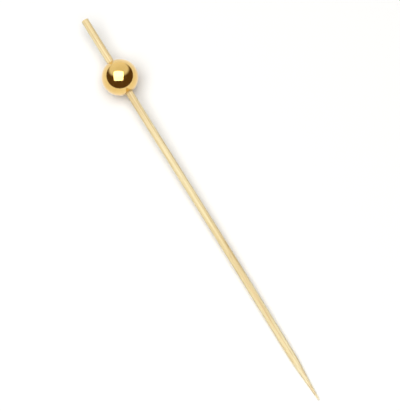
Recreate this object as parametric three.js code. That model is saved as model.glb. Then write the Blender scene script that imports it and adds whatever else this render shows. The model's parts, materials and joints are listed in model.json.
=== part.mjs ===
// A beaded bamboo cocktail pick, lying on a flat surface as it does when it is put down.
//
// It is three pieces on one axis:
//   bamboo_stick   a round bamboo stick, cut square at its butt and sharpened at the other end
//   bead           a moulded round bead, drilled through and threaded on near the butt
//   bead_adhesive  the glue in the bore that holds the bead, with a small collar at one mouth
//
// Sizes are in millimetres. +X runs from the butt to the point and +Z is up. The origin is on the
// surface, under the middle of the pick. The bead and the stick's shoulder, where the sharpening
// starts, both touch the surface, so the stick slopes down a little towards its point.

import * as THREE from 'three';

// Stick
const STICK_LENGTH = 120;
const STICK_DIAMETER = 2.0;
const POINT_LENGTH = 12; // the sharpened taper
const POINT_TIP_DIAMETER = 0.36; // the blunt flat left at the very end
const SHOULDER_LENGTH = 3; // where the round stick rolls over into the taper
const BUTT_EDGE_RADIUS = 0.16; // the tumbled edge of the square-cut butt

// Bead
const BEAD_DIAMETER = 10;
const BEAD_SETBACK = 18.5; // from the butt's face to the bead's centre
const BORE_LIP_RADIUS = 0.3; // the rounding at each mouth of the bore

// Adhesive
const GLUE_FILM = 0.1; // its thickness in the bore
const GLUE_RECESS = 0.4; // how far inside the mouth nearer the butt it stops
const GLUE_COLLAR_SPREAD_DEG = 50; // how far round the other mouth's lip the collar spreads
const GLUE_COLLAR_REACH = 0.6; // how far the collar climbs along the stick
const GLUE_FEATHER = 0.05; // the collar's thickness where it ends on the stick

// The gap between two pieces that touch
const FIT_GAP = 0.03;

// Fineness of the round surfaces
const SEGMENTS_AROUND = 36;
const BEAD_ARC_STEPS = 30;
const SMALL_ARC_STEPS = 6;

const stickRadius = STICK_DIAMETER / 2;
const tipRadius = POINT_TIP_DIAMETER / 2;
const beadRadius = BEAD_DIAMETER / 2;
const glueInnerRadius = stickRadius + FIT_GAP;
const glueOuterRadius = glueInnerRadius + GLUE_FILM;
const boreRadius = glueOuterRadius + FIT_GAP;

// The lip's arc touches both the bore's wall and the bead's outside.
const lipCentreRadius = boreRadius + BORE_LIP_RADIUS;
const lipCentreHeight = Math.sqrt((beadRadius - BORE_LIP_RADIUS) ** 2 - lipCentreRadius ** 2);
const lipEndAngle = Math.atan2(lipCentreHeight, lipCentreRadius);

// Points on an arc of a lathe's profile, where x is the radius and y runs along the axis.
function arcPoints(centreX, centreY, radius, fromAngle, toAngle, steps) {
  const points = [];
  for (let i = 0; i <= steps; i++) {
    const angle = THREE.MathUtils.lerp(fromAngle, toAngle, i / steps);
    points.push(new THREE.Vector2(centreX + radius * Math.cos(angle), centreY + radius * Math.sin(angle)));
  }
  return points;
}

// A solid of revolution about +Y. The middle of a facet, not a corner, faces -Z.
function turned(profile) {
  return new THREE.LatheGeometry(profile, SEGMENTS_AROUND, Math.PI / SEGMENTS_AROUND);
}

function piece(name, geometry, color, roughness, metalness) {
  const mesh = new THREE.Mesh(geometry, new THREE.MeshStandardMaterial({ color, roughness, metalness }));
  mesh.name = name;
  return mesh;
}

// The stick's outline, from the centre of the butt's face at y = 0 to the tip at y = STICK_LENGTH.
function stickOutline() {
  const taperStart = STICK_LENGTH - POINT_LENGTH;
  const shoulderEnd = taperStart + SHOULDER_LENGTH / 2;
  const shoulderEndRadius = THREE.MathUtils.mapLinear(
    shoulderEnd, taperStart, STICK_LENGTH, stickRadius, tipRadius,
  );
  const shoulder = new THREE.QuadraticBezierCurve(
    new THREE.Vector2(stickRadius, taperStart - SHOULDER_LENGTH / 2),
    new THREE.Vector2(stickRadius, taperStart),
    new THREE.Vector2(shoulderEndRadius, shoulderEnd),
  );
  const edgeCentreRadius = stickRadius - BUTT_EDGE_RADIUS;
  return [
    new THREE.Vector2(0, 0),
    ...arcPoints(edgeCentreRadius, BUTT_EDGE_RADIUS, BUTT_EDGE_RADIUS, -Math.PI / 2, 0, SMALL_ARC_STEPS),
    ...shoulder.getPoints(SMALL_ARC_STEPS),
    new THREE.Vector2(tipRadius, STICK_LENGTH),
    new THREE.Vector2(0, STICK_LENGTH),
  ];
}

function makeStick() {
  return piece('bamboo_stick', turned(stickOutline()), 0xe9d3a0, 0.6, 0);
}

// The bead, about its own centre.
function makeBead() {
  const outside = arcPoints(0, 0, beadRadius, -lipEndAngle, lipEndAngle, BEAD_ARC_STEPS);
  const profile = [
    ...arcPoints(lipCentreRadius, -lipCentreHeight, BORE_LIP_RADIUS, -Math.PI, -lipEndAngle, SMALL_ARC_STEPS),
    ...outside.slice(1, -1),
    ...arcPoints(lipCentreRadius, lipCentreHeight, BORE_LIP_RADIUS, lipEndAngle, Math.PI, SMALL_ARC_STEPS),
  ];
  profile.push(profile[0].clone());
  return piece('bead', turned(profile), 0xd9a441, 0.12, 1);
}

// The adhesive, about the bead's centre. Its collar is at the mouth on the point's side.
function makeAdhesive() {
  const collarAngle = Math.PI - THREE.MathUtils.degToRad(GLUE_COLLAR_SPREAD_DEG);
  const overLip = arcPoints(
    lipCentreRadius, lipCentreHeight, BORE_LIP_RADIUS + FIT_GAP, Math.PI, collarAngle, SMALL_ARC_STEPS,
  );
  const collarEdge = overLip[overLip.length - 1];
  const featherRadius = glueInnerRadius + GLUE_FEATHER;
  const meniscus = new THREE.QuadraticBezierCurve(
    collarEdge,
    new THREE.Vector2(featherRadius, collarEdge.y),
    new THREE.Vector2(featherRadius, collarEdge.y + GLUE_COLLAR_REACH),
  );
  const recessedEnd = GLUE_RECESS - lipCentreHeight;
  const profile = [
    new THREE.Vector2(glueInnerRadius, recessedEnd),
    new THREE.Vector2(glueOuterRadius, recessedEnd),
    ...overLip,
    ...meniscus.getPoints(SMALL_ARC_STEPS).slice(1),
    new THREE.Vector2(glueInnerRadius, collarEdge.y + GLUE_COLLAR_REACH),
  ];
  profile.push(profile[0].clone());
  return piece('bead_adhesive', turned(profile), 0xd4b375, 0.25, 0);
}

// The angle by which the stick slopes down from the bead. As it turns down from level about the
// bead's centre, it stops where the first point of its outline meets the surface under the bead.
function restingSlope() {
  const facetShare = Math.cos(Math.PI / SEGMENTS_AROUND); // of the radius, at the middle of a facet
  const slopes = stickOutline()
    .filter((point) => point.y > BEAD_SETBACK + beadRadius)
    .map((point) => {
      const along = point.y - BEAD_SETBACK;
      const across = point.x * facetShare;
      return Math.asin(beadRadius * facetShare / Math.hypot(along, across)) - Math.atan2(across, along);
    });
  return Math.min(...slopes);
}

// The pick's pieces along +Y, with the butt's face at y = 0
const pick = new THREE.Group();
const bead = makeBead();
const adhesive = makeAdhesive();
bead.position.y = BEAD_SETBACK;
adhesive.position.y = BEAD_SETBACK;
pick.add(makeStick(), bead, adhesive);

// Laid down along +X, and sloped to rest
pick.rotation.z = -Math.PI / 2;
const lying = new THREE.Group();
lying.rotation.y = restingSlope();
lying.add(pick);

// Set on the surface, with the origin under its middle
lying.updateMatrixWorld(true);
const extent = new THREE.Box3().setFromObject(lying, true);
const middle = extent.getCenter(new THREE.Vector3());
lying.position.set(-middle.x, -middle.y, -extent.min.z);

const cocktailPick = new THREE.Group();
cocktailPick.add(lying);

export default cocktailPick;
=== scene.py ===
"""A bamboo cocktail pick with a mirror-gold bead, lying on a white surface under a softbox.

Lengths are in metres. Each piece is shaped in the pick's own space, where X runs along the
stick from the centre of its butt, and is then laid down where the frame has it.
"""

import json
import math
import random

import bpy
import numpy as np
from mathutils import Matrix, Vector, noise


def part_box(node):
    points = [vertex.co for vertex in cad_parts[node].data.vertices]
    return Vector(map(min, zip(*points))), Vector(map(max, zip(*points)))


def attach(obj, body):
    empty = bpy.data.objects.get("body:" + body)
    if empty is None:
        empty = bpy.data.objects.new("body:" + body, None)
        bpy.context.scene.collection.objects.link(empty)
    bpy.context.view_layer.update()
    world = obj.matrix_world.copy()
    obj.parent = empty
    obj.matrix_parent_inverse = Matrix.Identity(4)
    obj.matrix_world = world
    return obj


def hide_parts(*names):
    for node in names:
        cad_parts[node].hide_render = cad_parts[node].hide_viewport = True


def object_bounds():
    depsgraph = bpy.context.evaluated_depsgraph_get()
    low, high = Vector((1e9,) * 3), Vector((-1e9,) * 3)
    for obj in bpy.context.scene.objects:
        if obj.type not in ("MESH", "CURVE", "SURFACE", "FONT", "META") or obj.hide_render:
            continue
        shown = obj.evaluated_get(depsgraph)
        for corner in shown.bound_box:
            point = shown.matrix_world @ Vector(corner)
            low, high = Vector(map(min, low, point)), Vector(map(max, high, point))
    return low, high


MM = 0.001
ROUNDING = 0.001 * MM  # more than the rounding of the frame's numbers comes to

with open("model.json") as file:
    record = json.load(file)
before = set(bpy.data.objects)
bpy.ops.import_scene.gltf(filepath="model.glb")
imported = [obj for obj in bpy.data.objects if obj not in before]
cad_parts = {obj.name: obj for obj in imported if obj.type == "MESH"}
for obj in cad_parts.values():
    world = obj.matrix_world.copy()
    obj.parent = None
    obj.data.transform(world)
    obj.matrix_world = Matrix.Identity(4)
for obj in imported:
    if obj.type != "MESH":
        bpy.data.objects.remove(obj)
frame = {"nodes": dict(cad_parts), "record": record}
cad_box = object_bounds()

# Where the frame has the pick
BUTT_FACE = frame["record"]["mounts"][0]
BUTT = Vector(BUTT_FACE["pos_m"])
ALONG = -Vector(BUTT_FACE["axis"])
ACROSS = Vector((0, 1, 0))
LIFT = ALONG.cross(ACROSS)
LAID = Matrix.Translation(BUTT) @ Matrix((ALONG, ACROSS, LIFT)).transposed().to_4x4()
TO_PICK = LAID.inverted()


def corners(node):
    """The (along, radius) of each corner of a CAD node, about the stick's axis."""
    points = [TO_PICK @ v.co for v in frame["nodes"][node].data.vertices]
    return [(p.x, math.hypot(p.y, p.z)) for p in points]


def half_width(node):
    """Half of how far a CAD node reaches across the stick, on the side where it reaches least."""
    low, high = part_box(node)
    return min(high[1] - low[1], high[2] - low[2]) / 2 - ROUNDING


# The solids have flat facets. The smooth pieces stay inside the flats.
STICK_CORNERS = corners("bamboo_stick")
STICK_LENGTH = max(along for along, radius in STICK_CORNERS)
STICK_RADIUS = half_width("bamboo_stick")
STICK_CORNER_RADIUS = max(radius for along, radius in STICK_CORNERS)
FLAT_SHARE = STICK_RADIUS / STICK_CORNER_RADIUS
BEAD_CORNERS = corners("bead")
BEAD_X = (min(BEAD_CORNERS)[0] + max(BEAD_CORNERS)[0]) / 2
BEAD_RADIUS = half_width("bead")
BORE_RADIUS = min(radius for along, radius in BEAD_CORNERS)


def stick_outline():
    """Where the sections of the stick's solid are along it, and their radii, from butt to tip."""
    places, radii = [], []
    for along, radius in sorted(STICK_CORNERS):
        if not places or along > places[-1] + ROUNDING:
            places.append(along)
            radii.append(0)
        radii[-1] = max(radii[-1], radius * FLAT_SHARE)
    return places, radii


OUTLINE_AT, OUTLINE_RADII = stick_outline()


def rise(low, high, value):
    """0 up to low, 1 from high on, and a smooth rise between."""
    t = np.clip((value - low) / (high - low), 0, 1)
    return t * t * (3 - 2 * t)


# Meshes
UV_MAP = "OFBake"  # the name of each mesh's own texture map


def skin(name, rings, ends=None, shades=None):
    """A smooth skin over rings of points. It is closed by a point at each end, or else wrapped round.

    On its texture map the rings lie one above another, all as long and as far apart.
    """
    rings = np.asarray(rings)
    count, sides = rings.shape[:2]
    points = rings.reshape(-1, 3).tolist()
    faces = []
    spots = []  # the place on the texture map of each corner of each face
    for row in range(count - 1 if ends else count):
        low = row * sides
        high = (row + 1) % count * sides
        for j in range(sides):
            k = (j + 1) % sides
            faces.append((low + j, low + k, high + k, high + j))
            spots += [(j, row), (j + 1, row), (j + 1, row + 1), (j, row + 1)]
    if ends:
        butt = len(points)
        tip = butt + 1
        last = butt - sides
        for j in range(sides):
            k = (j + 1) % sides
            faces.append((butt, k, j))
            spots += [(j + 0.5, -1), (j + 1, 0), (j, 0)]
            faces.append((tip, last + j, last + k))
            spots += [(j + 0.5, count), (j, count - 1), (j + 1, count - 1)]
        points += ends
    mesh = bpy.data.meshes.new(name)
    mesh.from_pydata(points, [], faces)
    mesh.polygons.foreach_set("use_smooth", [True] * len(mesh.polygons))
    spots = np.array(spots, float)
    spots -= spots.min(axis=0)
    spots /= spots.max(axis=0)
    mesh.uv_layers.new(name=UV_MAP).uv.foreach_set("vector", spots.ravel())
    for label, values in (shades or {}).items():
        mesh.attributes.new(label, "FLOAT", "POINT").data.foreach_set("value", values)
    mesh.transform(LAID)
    mesh.update()
    piece = bpy.data.objects.new(name, mesh)
    bpy.context.collection.objects.link(piece)
    return piece


def directions(sides):
    """The (y, z) of each point of a ring of radius 1 with that many sides."""
    angles = 2 * np.pi * np.arange(sides) / sides
    return np.stack([np.cos(angles), np.sin(angles)], axis=1)


def turned(outline, sides):
    """The rings of a turned piece, from its (along, radius) outline."""
    around = directions(sides)
    rings = np.empty((len(outline), sides, 3))
    for ring, (along, radius) in zip(rings, outline):
        ring[:, 0] = along
        ring[:, 1:] = radius * around
    return rings


def arc(centre, radius, start, end, steps):
    """(along, radius) points of an arc, with its angles measured from straight outwards."""
    angles = np.linspace(start, end, steps + 1)
    return [(centre[0] + radius * math.sin(a), centre[1] + radius * math.cos(a)) for a in angles]


# The stick
STICK_SIDES = 160
FACE_RINGS = 30
SIDE_STEP = 0.6 * MM
TAPER_STEP = 0.2 * MM
TIP_ROUNDING = 0.12 * MM
TIP_RINGS = 8
LAST_RING = 0.14  # of the tip's radius. A point closes it
BOW = 0.15 * MM  # how far the stick bends sideways between its bead and its tip

# Its grain: fibre bundles, each with two open vessels, in softer pith
BUNDLE_ROWS = 7  # on each side of the middle one, and as many columns
BUNDLE_SPACING = 0.46 * MM
ROW_SPACING = 0.40 * MM
SCATTER = 0.12 * MM  # how far a bundle is off its place in the rows
BUNDLE_RADIUS = 0.15 * MM
BUNDLE_SIZES = (0.75, 1.2)  # of that radius, from the smallest to the largest
BUNDLE_CORE = 0.55  # of its radius, inside its soft edge
BUNDLE_LEAN = (0.011, 0.006)  # how far the grain runs out sideways, per length of stick
LEAN_SCATTER = 0.0012
BUNDLE_WANDER = 0.03 * MM
WANDER_LENGTH = 9 * MM
VESSEL_RADIUS = 0.045 * MM
VESSEL_CORE = 0.5
VESSEL_OFFSET = 0.07 * MM  # from the middle of its bundle
GRAIN_SEED = 11

# Its wear, all of it inwards
PITH_WEAR = 0.014 * MM
FIBRE_WEAR = 0.006 * MM
OUT_OF_ROUND = 0.016 * MM
GROOVE_DEPTH = 0.016 * MM  # where the side cuts a vessel open
PORE_DEPTH = 0.10 * MM  # where the butt does

# The taper looks cut. That starts and is full where these shares of the radius are gone
CUT_START = 0.01
CUT_FULL = 0.10


def make_bundles():
    """The fibre bundles' places at the butt, leans, radii and turns, as rows of numbers."""
    draw = random.Random(GRAIN_SEED)
    bundles = []
    for row in range(-BUNDLE_ROWS, BUNDLE_ROWS + 1):
        for column in range(-BUNDLE_ROWS, BUNDLE_ROWS + 1):
            y = (column + 0.5 * (row % 2)) * BUNDLE_SPACING + draw.uniform(-SCATTER, SCATTER)
            z = row * ROW_SPACING + draw.uniform(-SCATTER, SCATTER)
            lean_y = BUNDLE_LEAN[0] + draw.uniform(-LEAN_SCATTER, LEAN_SCATTER)
            lean_z = BUNDLE_LEAN[1] + draw.uniform(-LEAN_SCATTER, LEAN_SCATTER)
            radius = BUNDLE_RADIUS * draw.uniform(*BUNDLE_SIZES)
            bundles.append((y, z, lean_y, lean_z, radius, draw.uniform(0, 2 * math.pi)))
    return np.array(bundles).T


BUNDLES = make_bundles()


def grain(ring):
    """For each point of a ring, 1 inside a fibre bundle, and 1 inside an open vessel."""
    start_y, start_z, lean_y, lean_z, radius, turn = BUNDLES
    x, y, z = (ring[:, i:i + 1] for i in range(3))
    from_y = y - start_y - lean_y * x - BUNDLE_WANDER * np.sin(x / WANDER_LENGTH + turn)
    from_z = z - start_z - lean_z * x
    bundle = 1 - rise(BUNDLE_CORE * radius, radius, np.hypot(from_y, from_z))
    vessel = np.zeros_like(bundle)
    for side in (-VESSEL_OFFSET, VESSEL_OFFSET):
        reach = np.hypot(from_y - side * np.cos(turn), from_z - side * np.sin(turn))
        vessel = np.maximum(vessel, 1 - rise(VESSEL_CORE * VESSEL_RADIUS, VESSEL_RADIUS, reach))
    return bundle.max(axis=1), vessel.max(axis=1)


def noise_round(x, around, lumps, length):
    """Noise from 0 to 1 round the stick at x, with so many lumps to a radian and of that length."""
    points = [Vector((lumps * y, lumps * z, x / length)) for y, z in around]
    return np.array([0.5 + 0.5 * noise.noise(p) for p in points])


def side_radius(x):
    """The stick's radius at x, with the very tip rounded over."""
    past = max(0, (x - STICK_LENGTH) / TIP_ROUNDING + 1)
    rounded = max(LAST_RING, math.sqrt(max(0, 1 - past ** 2)))
    return float(np.interp(x, OUTLINE_AT, OUTLINE_RADII)) * rounded


def side_stations():
    """Where the side's rings are, closest together over the butt's edge, the taper and the tip."""
    edge = [s for s in OUTLINE_AT[1:] if s < STICK_RADIUS]
    shoulder = OUTLINE_AT[len(edge) + 1]
    side = np.arange(edge[-1] + SIDE_STEP, shoulder, SIDE_STEP)
    taper = np.arange(shoulder, STICK_LENGTH - TIP_ROUNDING, TAPER_STEP)
    tip = STICK_LENGTH - TIP_ROUNDING * (1 - np.sin(np.linspace(0, math.pi / 2, TIP_RINGS)))
    return [*edge, *side, *taper, *tip]


def bow(x):
    """How far the stick is bent sideways at x, which is nowhere in the bead and not at the tip."""
    straight_to = BEAD_X + BEAD_RADIUS
    share = np.clip((x - straight_to) / (STICK_LENGTH - straight_to), 0, 1)
    return BOW * np.sin(math.pi * share) ** 2


def face_rings(around):
    """The rings of the butt's face from its middle outwards, each with its bundle, vessel and cut."""
    for step in range(1, FACE_RINGS):
        ring = np.zeros((STICK_SIDES, 3))
        ring[:, 1:] = OUTLINE_RADII[0] * step / FACE_RINGS * around
        bundle, vessel = grain(ring)
        ring[:, 0] = PITH_WEAR * (1 - bundle) + PORE_DEPTH * vessel
        yield ring, bundle, vessel, np.ones(STICK_SIDES)


def side_rings(around):
    """The rings of the side from the butt's edge to the tip, each with its bundle, vessel and cut."""
    for x in side_stations():
        full = side_radius(x)
        ring = np.full((STICK_SIDES, 3), x)
        ring[:, 1:] = full * around
        bundle, vessel = grain(ring)
        worn = PITH_WEAR * (1 - bundle) + GROOVE_DEPTH * vessel
        worn += FIBRE_WEAR * noise_round(x, around, lumps=14, length=16 * MM)
        worn += OUT_OF_ROUND * noise_round(x, around, lumps=0.9, length=22 * MM)
        ring[:, 1:] -= worn[:, None] * around * full / STICK_RADIUS
        ring[:, 1] += bow(x)
        cut = rise(CUT_START, CUT_FULL, 1 - full / STICK_RADIUS)
        yield ring, bundle, vessel, np.full(STICK_SIDES, cut)


def make_stick():
    """The worn stick, closed by a point in the middle of its butt and one at its tip."""
    around = directions(STICK_SIDES)
    rings, bundles, vessels, cuts = zip(*face_rings(around), *side_rings(around))
    shades = {}
    for label, values in (("bundle", bundles), ("vessel", vessels), ("cut", cuts)):
        # The points that close the two ends take the shades beside them.
        shades[label] = [*np.concatenate(values), values[0][0], values[-1][0]]
    ends = [(PITH_WEAR, 0, 0), (STICK_LENGTH, 0, 0)]
    return skin("split_bamboo_stick", rings, ends=ends, shades=shades)


# The bead
BEAD_SIDES = 160
BEAD_ARC_STEPS = 120
LIP_RADIUS = 0.30 * MM
LIP_STEPS = 10
BORE_STEPS = 8


def lip_centre():
    """The (along, radius) of the centre of a bore mouth's rounding, from the bead's centre."""
    radius = BORE_RADIUS + LIP_RADIUS
    return math.sqrt((BEAD_RADIUS - LIP_RADIUS) ** 2 - radius ** 2), radius


def make_bead():
    """A ball with a rounded bore: one mouth, the outside, the other mouth and the bore's wall."""
    along, radius = lip_centre()
    lip_end = math.atan2(along, radius)
    outline = [
        *arc((-along, radius), LIP_RADIUS, -math.pi, -lip_end, LIP_STEPS),
        *arc((0, 0), BEAD_RADIUS, -lip_end, lip_end, BEAD_ARC_STEPS)[1:-1],
        *arc((along, radius), LIP_RADIUS, lip_end, math.pi, LIP_STEPS),
        *[(along - 2 * along * i / BORE_STEPS, BORE_RADIUS) for i in range(1, BORE_STEPS)],
    ]
    return skin("gold_plated_bead", turned([(BEAD_X + x, r) for x, r in outline], BEAD_SIDES))


# The adhesive
GLUE_SIDES = 72
GLUE_RECESS = 0.40 * MM
GLUE_SPREAD = math.radians(45)  # how far round the mouth's rounding it spreads
SPREAD_STEPS = 8
GLUE_REACH = 0.55 * MM
GLUE_UNEVENNESS = 0.2  # of its reach
GLUE_HOLLOW = 0.5  # 0 for a plain cone, 1 for a fillet that meets the stick and the bead squarely
GLUE_SINK = 0.06 * MM  # how far it goes under the stick's worn surface
FILLET_STEPS = 10


def make_adhesive():
    """A sleeve in the bore, with an uneven fillet from the bore's mouth up the stick."""
    along, lip = lip_centre()
    inner = STICK_RADIUS - GLUE_SINK
    over_lip = arc((along, lip), LIP_RADIUS, math.pi, math.pi - GLUE_SPREAD, SPREAD_STEPS)
    outline = [(GLUE_RECESS - along, inner), (GLUE_RECESS - along, BORE_RADIUS), *over_lip]
    sleeve = turned([(BEAD_X + x, r) for x, r in outline], GLUE_SIDES)
    edge_x, edge_radius = over_lip[-1]
    around = directions(GLUE_SIDES)
    uneven = 1 + GLUE_UNEVENNESS * (2 * noise_round(0, around, lumps=1, length=MM) - 1)
    fillet = []
    for t in np.linspace(0, 1, FILLET_STEPS + 1)[1:]:
        climbed = t * (1 - GLUE_HOLLOW * (1 - t))  # a share of its reach
        thickness = (1 - t) * (1 - GLUE_HOLLOW * t)  # a share of that at the bead
        ring = np.empty((GLUE_SIDES, 3))
        ring[:, 0] = BEAD_X + edge_x + GLUE_REACH * uneven * climbed
        ring[:, 1:] = (inner + (edge_radius - inner) * thickness) * around
        fillet.append(ring)
    return skin("glue_collar", [*sleeve, *fillet])


# Materials


class Shading:
    """Builds a material or a world from nodes."""

    def __init__(self, owner):
        owner.use_nodes = True
        self.tree = owner.node_tree

    def put(self, socket, value):
        """Links the socket where the value is another socket, and otherwise sets it."""
        if isinstance(value, bpy.types.NodeSocket):
            self.tree.links.new(value, socket)
        else:
            socket.default_value = value

    def node(self, kind, inputs, output=0, **settings):
        """Adds a node of that kind and gives one of its outputs."""
        made = self.tree.nodes.new("ShaderNode" + kind)
        for name, value in settings.items():
            setattr(made, name, value)
        for key, value in inputs.items():
            self.put(made.inputs[key], value)
        return made.outputs[output]

    def combine(self, operation, first, second):
        """One number from two, by that operation."""
        return self.node("Math", {0: first, 1: second}, operation=operation)

    def rise(self, value, low, high, start=0, end=1):
        """Start up to low, end from high on, and a smooth change between."""
        sockets = {"Value": value, "From Min": low, "From Max": high, "To Min": start, "To Max": end}
        return self.node("MapRange", sockets, interpolation_type="SMOOTHSTEP")

    def mix(self, share, first, second, blend="MIX"):
        """A mix of two colours. The numbers are the sockets of the node's colour mode."""
        sockets = {0: share, 6: first, 7: second}
        return self.node("Mix", sockets, output=2, data_type="RGBA", blend_type=blend)

    def ramp(self, value, *stops):
        """A colour that follows a value through (position, colour) stops."""
        made = self.tree.nodes.new("ShaderNodeValToRGB")
        band = made.color_ramp.elements
        for i, (position, colour) in enumerate(stops):
            element = band[i] if i < 2 else band.new(position)  # a new ramp has two
            element.position = position
            element.color = (*colour, 1)
        self.put(made.inputs["Fac"], value)
        return made.outputs["Color"]

    def shade(self, name):
        """One of the values that the mesh carries."""
        return self.node("Attribute", {}, "Fac", attribute_name=name)

    def noise(self, along, across, detail, seed):
        """Noise in the pick's space, with about so many lumps a metre along and across the stick."""
        place = self.node("TexCoord", {}, "Object")
        place = self.node("Mapping", {
            "Vector": place,
            "Rotation": TO_PICK.to_euler(),
            "Location": TO_PICK.translation,
        })
        place = self.node("Mapping", {
            "Vector": place,
            "Scale": (along, across, across),
            "Location": (seed, seed, seed),
        })
        return self.node("TexNoise", {"Vector": place, "Scale": 1, "Detail": detail})

    def bump(self, height, depth, strength):
        """A normal for a surface that is that deep where the height is 1."""
        return self.node("Bump", {"Height": height, "Distance": depth, "Strength": strength})


def material(name):
    """A new material, with its builder and its shader's sockets."""
    made = bpy.data.materials.new(name)
    shading = Shading(made)
    return made, shading, shading.tree.nodes["Principled BSDF"].inputs


def bamboo():
    """Fibre bundles in paler pith, with streaks, flecks and slow changes of tone, and painted shade
    in the open vessels.
    """
    made, shading, shader = material("bamboo")
    broad = shading.noise(along=24, across=2400, detail=3, seed=4)
    fine = shading.noise(along=70, across=11000, detail=4, seed=9)
    slow = shading.noise(along=30, across=90, detail=2, seed=2)
    flecks = shading.noise(along=260, across=9000, detail=2, seed=13)
    cut = shading.shade("cut")
    pith = shading.ramp(
        broad,
        (0.30, (0.80, 0.63, 0.32)),
        (0.50, (0.90, 0.77, 0.45)),
        (0.68, (0.95, 0.86, 0.57)),
    )
    fibre = shading.ramp(
        fine,
        (0.32, (0.60, 0.39, 0.16)),
        (0.50, (0.79, 0.58, 0.28)),
        (0.70, (0.89, 0.72, 0.40)),
    )
    colour = shading.mix(shading.shade("bundle"), pith, fibre)
    streaks = shading.ramp(fine, (0.36, (0.80, 0.71, 0.57)), (0.50, (1, 1, 1)))
    colour = shading.mix(0.85, colour, streaks, "MULTIPLY")
    tone = shading.ramp(slow, (0.32, (0.93, 0.89, 0.82)), (0.62, (1, 1, 1)))
    colour = shading.mix(1.0, colour, tone, "MULTIPLY")
    fleck = shading.combine("MULTIPLY", shading.rise(flecks, 0.66, 0.74), 0.6)
    colour = shading.mix(fleck, colour, (0.42, 0.25, 0.10, 1))
    # Painted shade: the open vessels, which are hollows in the mesh, are coloured dark brown, most
    # where the surface is cut.
    vessel = shading.combine("MULTIPLY", shading.shade("vessel"), shading.rise(cut, 0, 1, 0.45, 0.8))
    colour = shading.mix(vessel, colour, (0.36, 0.21, 0.09, 1))
    fresh = shading.combine("MULTIPLY", cut, 0.25)
    colour = shading.mix(fresh, colour, (0.95, 0.86, 0.62, 1))
    shading.put(shader["Base Color"], colour)
    shading.put(shader["Roughness"], shading.rise(fine, 0.3, 0.7, 0.48, 0.72))
    shader["Specular IOR Level"].default_value = 0.35
    grinding = shading.noise(along=16000, across=1400, detail=2, seed=7)  # marks across the taper
    height = shading.mix(cut, fine, grinding)
    shading.put(shader["Normal"], shading.bump(height, 0.008 * MM, 0.6))
    return made


def gold():
    """Mirror gold under a clear coat, with a faint haze and faint orange peel."""
    made, shading, shader = material("gold_plating")
    clouds = shading.noise(along=240, across=240, detail=3, seed=5)
    tint = shading.ramp(clouds, (0.30, (0.77, 0.50, 0.13)), (0.70, (0.85, 0.58, 0.18)))
    shading.put(shader["Base Color"], tint)
    shader["Metallic"].default_value = 1
    haze = shading.noise(along=900, across=900, detail=5, seed=1)
    shading.put(shader["Roughness"], shading.rise(haze, 0.3, 0.75, 0.05, 0.15))
    peel = shading.noise(along=380, across=380, detail=1, seed=8)
    shading.put(shader["Normal"], shading.bump(peel, 0.02 * MM, 0.35))
    shader["Coat Weight"].default_value = 1
    shader["Coat Roughness"].default_value = 0.04
    shader["Coat IOR"].default_value = 1.5
    return made


def glue():
    """Amber that lets some light in, a little cloudy and softly shiny."""
    made, shading, shader = material("set_glue")
    clouds = shading.noise(along=1800, across=1800, detail=3, seed=6)
    tint = shading.ramp(clouds, (0.30, (0.60, 0.37, 0.13)), (0.70, (0.78, 0.55, 0.26)))
    shading.put(shader["Base Color"], tint)
    shading.put(shader["Roughness"], shading.rise(clouds, 0.3, 0.7, 0.10, 0.24))
    shader["Subsurface Weight"].default_value = 0.5
    shader["Subsurface Radius"].default_value = (1.0, 0.7, 0.4)
    shader["Subsurface Scale"].default_value = 0.3 * MM
    shader["IOR"].default_value = 1.48
    shading.put(shader["Normal"], shading.bump(clouds, 0.02 * MM, 0.3))
    return made


def dress(piece, node, finish):
    """Gives a piece its finish, and puts it in the place of its CAD node."""
    piece.data.materials.append(finish)
    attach(piece, "root")
    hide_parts(node)


dress(make_stick(), "bamboo_stick", bamboo())
dress(make_bead(), "bead", gold())
dress(make_adhesive(), "bead_adhesive", glue())

# The camera looks down on the pick, which runs from the upper left to the lower right of the picture.
FRAME_HEIGHT = 411
ELEVATION = math.radians(76)
IMAGE_SLOPE = math.radians(58)  # of the stick, below the horizontal
STICK_RISE = 376  # pixels from the top of the stick to its bottom
DISTANCE = 0.65
SENSOR = 36  # in millimetres, for the longer side of the picture, its height
YAW = math.atan(math.tan(IMAGE_SLOPE) / math.sin(ELEVATION))
CENTRE = (cad_box[0] + cad_box[1]) / 2

# Level directions, as the camera sees them
RIGHT = Vector((math.cos(YAW), math.sin(YAW), 0))
AWAY = Vector((-math.sin(YAW), math.cos(YAW), 0))
UP = Vector((0, 0, 1))


def towards(angle, right, away):
    """The direction at that angle above the horizon, over a heading so far right and so far away."""
    heading = (right * RIGHT + away * AWAY).normalized()
    return heading * math.cos(angle) + UP * math.sin(angle)


def aim(thing, direction, distance):
    """Puts a thing in that direction from the pick, facing it, with its own X level to the right."""
    thing.location = CENTRE + direction * distance
    upwards = direction.cross(RIGHT).normalized()
    axes = Matrix((upwards.cross(direction), upwards, direction)).transposed()
    thing.rotation_euler = axes.to_euler()


def make_camera():
    """A camera whose lens makes the stick's rise up the picture come out at STICK_RISE."""
    camera = bpy.data.objects.new("camera", bpy.data.cameras.new("camera"))
    aim(camera, towards(ELEVATION, 0, -1), DISTANCE)
    rise_seen = STICK_LENGTH * math.sin(YAW) * math.sin(ELEVATION)
    camera.data.sensor_width = SENSOR
    camera.data.lens = SENSOR * (STICK_RISE / FRAME_HEIGHT) * DISTANCE / rise_seen
    bpy.context.collection.objects.link(camera)
    bpy.context.scene.camera = camera


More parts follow.
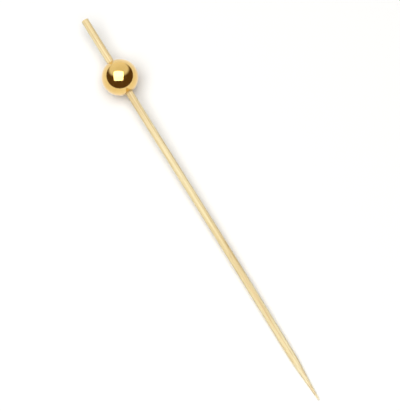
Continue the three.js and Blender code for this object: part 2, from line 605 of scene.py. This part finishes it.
# The studio
SOFTBOX_SIZE = 1.04
SOFTBOX_HEIGHT = 0.9
SOFTBOX_POWER = 11.3
SOFTBOX_ANGLE = math.radians(80)
SOFTBOX_HEADING = (-0.8, -0.6)  # to the right and away, so this is to the left and towards the camera
FLOOR_RADIUS = 3.0
FLOOR_SIDES = 64
FLOOR_COLOUR = (0.94, 0.94, 0.93, 1)
FLOOR_NEAR = 0.12  # the lit floor starts to turn into the backdrop's white here
FLOOR_FAR = 0.32
WALL = 1.0  # the room's brightness beyond the pick, as the bead mirrors it
CEILING = 0.9
DARK = (0.11, 0.06, 0.02, 1)  # its colour outside the light part
ROOM_LIGHT = 0.28  # of that brightness lights things
LIGHT_ANGLE = math.radians(47)  # where the middle of the light part is
LIGHT_HEADING = (-0.15, 1)  # to the right and away
LIGHT_SPREAD = math.radians(54)
LIGHT_EDGE = math.radians(9)


def make_softbox():
    """The square lamp whose mirrored shape is the bead's highlight."""
    light = bpy.data.lights.new("softbox", "AREA")
    light.size = SOFTBOX_SIZE
    light.energy = SOFTBOX_POWER
    lamp = bpy.data.objects.new("softbox", light)
    aim(lamp, towards(SOFTBOX_ANGLE, *SOFTBOX_HEADING), SOFTBOX_HEIGHT)
    lamp.visible_camera = False
    bpy.context.collection.objects.link(lamp)


def seen(shading):
    """1 for a ray that shows what it meets, mirrored or not, and 0 for one that brings only light."""
    rays = shading.tree.nodes.new("ShaderNodeLightPath").outputs
    mirrored = shading.combine("MAXIMUM", rays["Is Camera Ray"], rays["Is Glossy Ray"])
    return shading.combine("MAXIMUM", mirrored, rays["Is Transmission Ray"])


def make_floor():
    """White, with the pick's shadow. Farther out it is as white as the backdrop."""
    made, shading, shader = material("floor")
    shader["Base Color"].default_value = FLOOR_COLOUR
    shader["Roughness"].default_value = 0.8
    shader["Specular IOR Level"].default_value = 0.1
    place = shading.node("TexCoord", {}, "Object")
    reach = shading.node("VectorMath", {0: place}, "Value", operation="LENGTH")
    share = shading.combine("MULTIPLY", seen(shading), shading.rise(reach, FLOOR_NEAR, FLOOR_FAR))
    lit = shading.tree.nodes["Principled BSDF"].outputs[0]
    white = shading.node("Emission", {"Strength": 1})
    shading.put(
        shading.tree.nodes["Material Output"].inputs["Surface"],
        shading.node("MixShader", {0: share, 1: lit, 2: white}),
    )
    rim = [(x, y, 0) for x, y in FLOOR_RADIUS * directions(FLOOR_SIDES)]
    mesh = bpy.data.meshes.new("floor")
    mesh.from_pydata(rim, [], [range(FLOOR_SIDES)])
    mesh.materials.append(made)
    floor = bpy.data.objects.new("floor", mesh)
    bpy.context.collection.objects.link(floor)


def make_room():
    """A room that is light overhead and beyond the pick, and dark behind and beside the camera."""
    world = bpy.data.worlds.new("room")
    bpy.context.scene.world = world
    shading = Shading(world)
    facing = shading.node("TexCoord", {}, "Generated")

    def lean(direction):
        """How nearly a ray goes that way, from -1 to 1."""
        return shading.node("VectorMath", {0: facing, 1: direction}, "Value", operation="DOT_PRODUCT")

    in_the_light = lean(towards(LIGHT_ANGLE, *LIGHT_HEADING))
    edges = math.cos(LIGHT_SPREAD + LIGHT_EDGE), math.cos(LIGHT_SPREAD - LIGHT_EDGE)
    level = shading.rise(lean(UP), 0, 1, WALL, CEILING)
    colour = shading.mix(shading.rise(in_the_light, *edges), DARK, level)
    straight = shading.node("LightPath", {}, "Is Camera Ray")
    colour = shading.mix(straight, colour, (1, 1, 1, 1))
    background = shading.tree.nodes["Background"].inputs
    shading.put(background["Color"], colour)
    shading.put(background["Strength"], shading.rise(seen(shading), 0, 1, ROOM_LIGHT, 1))


make_camera()
make_softbox()
make_floor()
make_room()
bpy.context.scene.view_settings.view_transform = "Standard"
